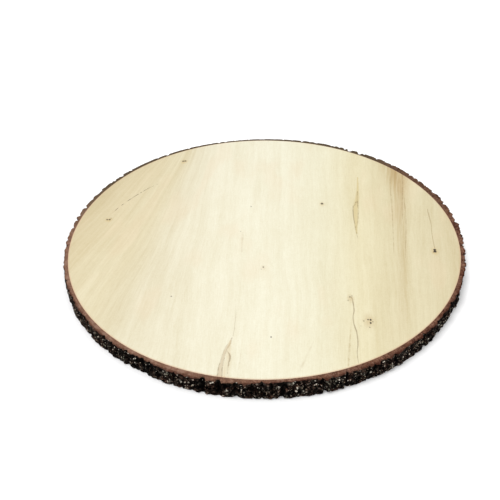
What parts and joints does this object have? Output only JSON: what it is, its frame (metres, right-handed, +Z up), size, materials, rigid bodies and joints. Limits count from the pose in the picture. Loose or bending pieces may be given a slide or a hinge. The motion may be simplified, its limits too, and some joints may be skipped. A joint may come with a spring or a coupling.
{
  "type": "wood slice",
  "caption": "Thin round cross-cut slice of a pale lime trunk, with two flat sawn faces and a ring of ridged dark bark round its edge.",
  "frame": {"origin": "middle of the sawn underside, which lies on the surface", "axes": "+Z up, out of the top face; +Y towards the back of the slice as pictured, +X to its right"},
  "size_m": [0.3314, 0.3297, 0.015],
  "materials": {
    "lime_wood": "sawn and sanded smooth, bare, pale cream with long soft streaks of grain",
    "lime_bark": "rough, matt, near-black bark, reddish brown where it is cut"
  },
  "bodies": {
    "root": {"wood_disc": "lime_wood", "bark_ring": "lime_bark"}
  },
  "joints": []
}
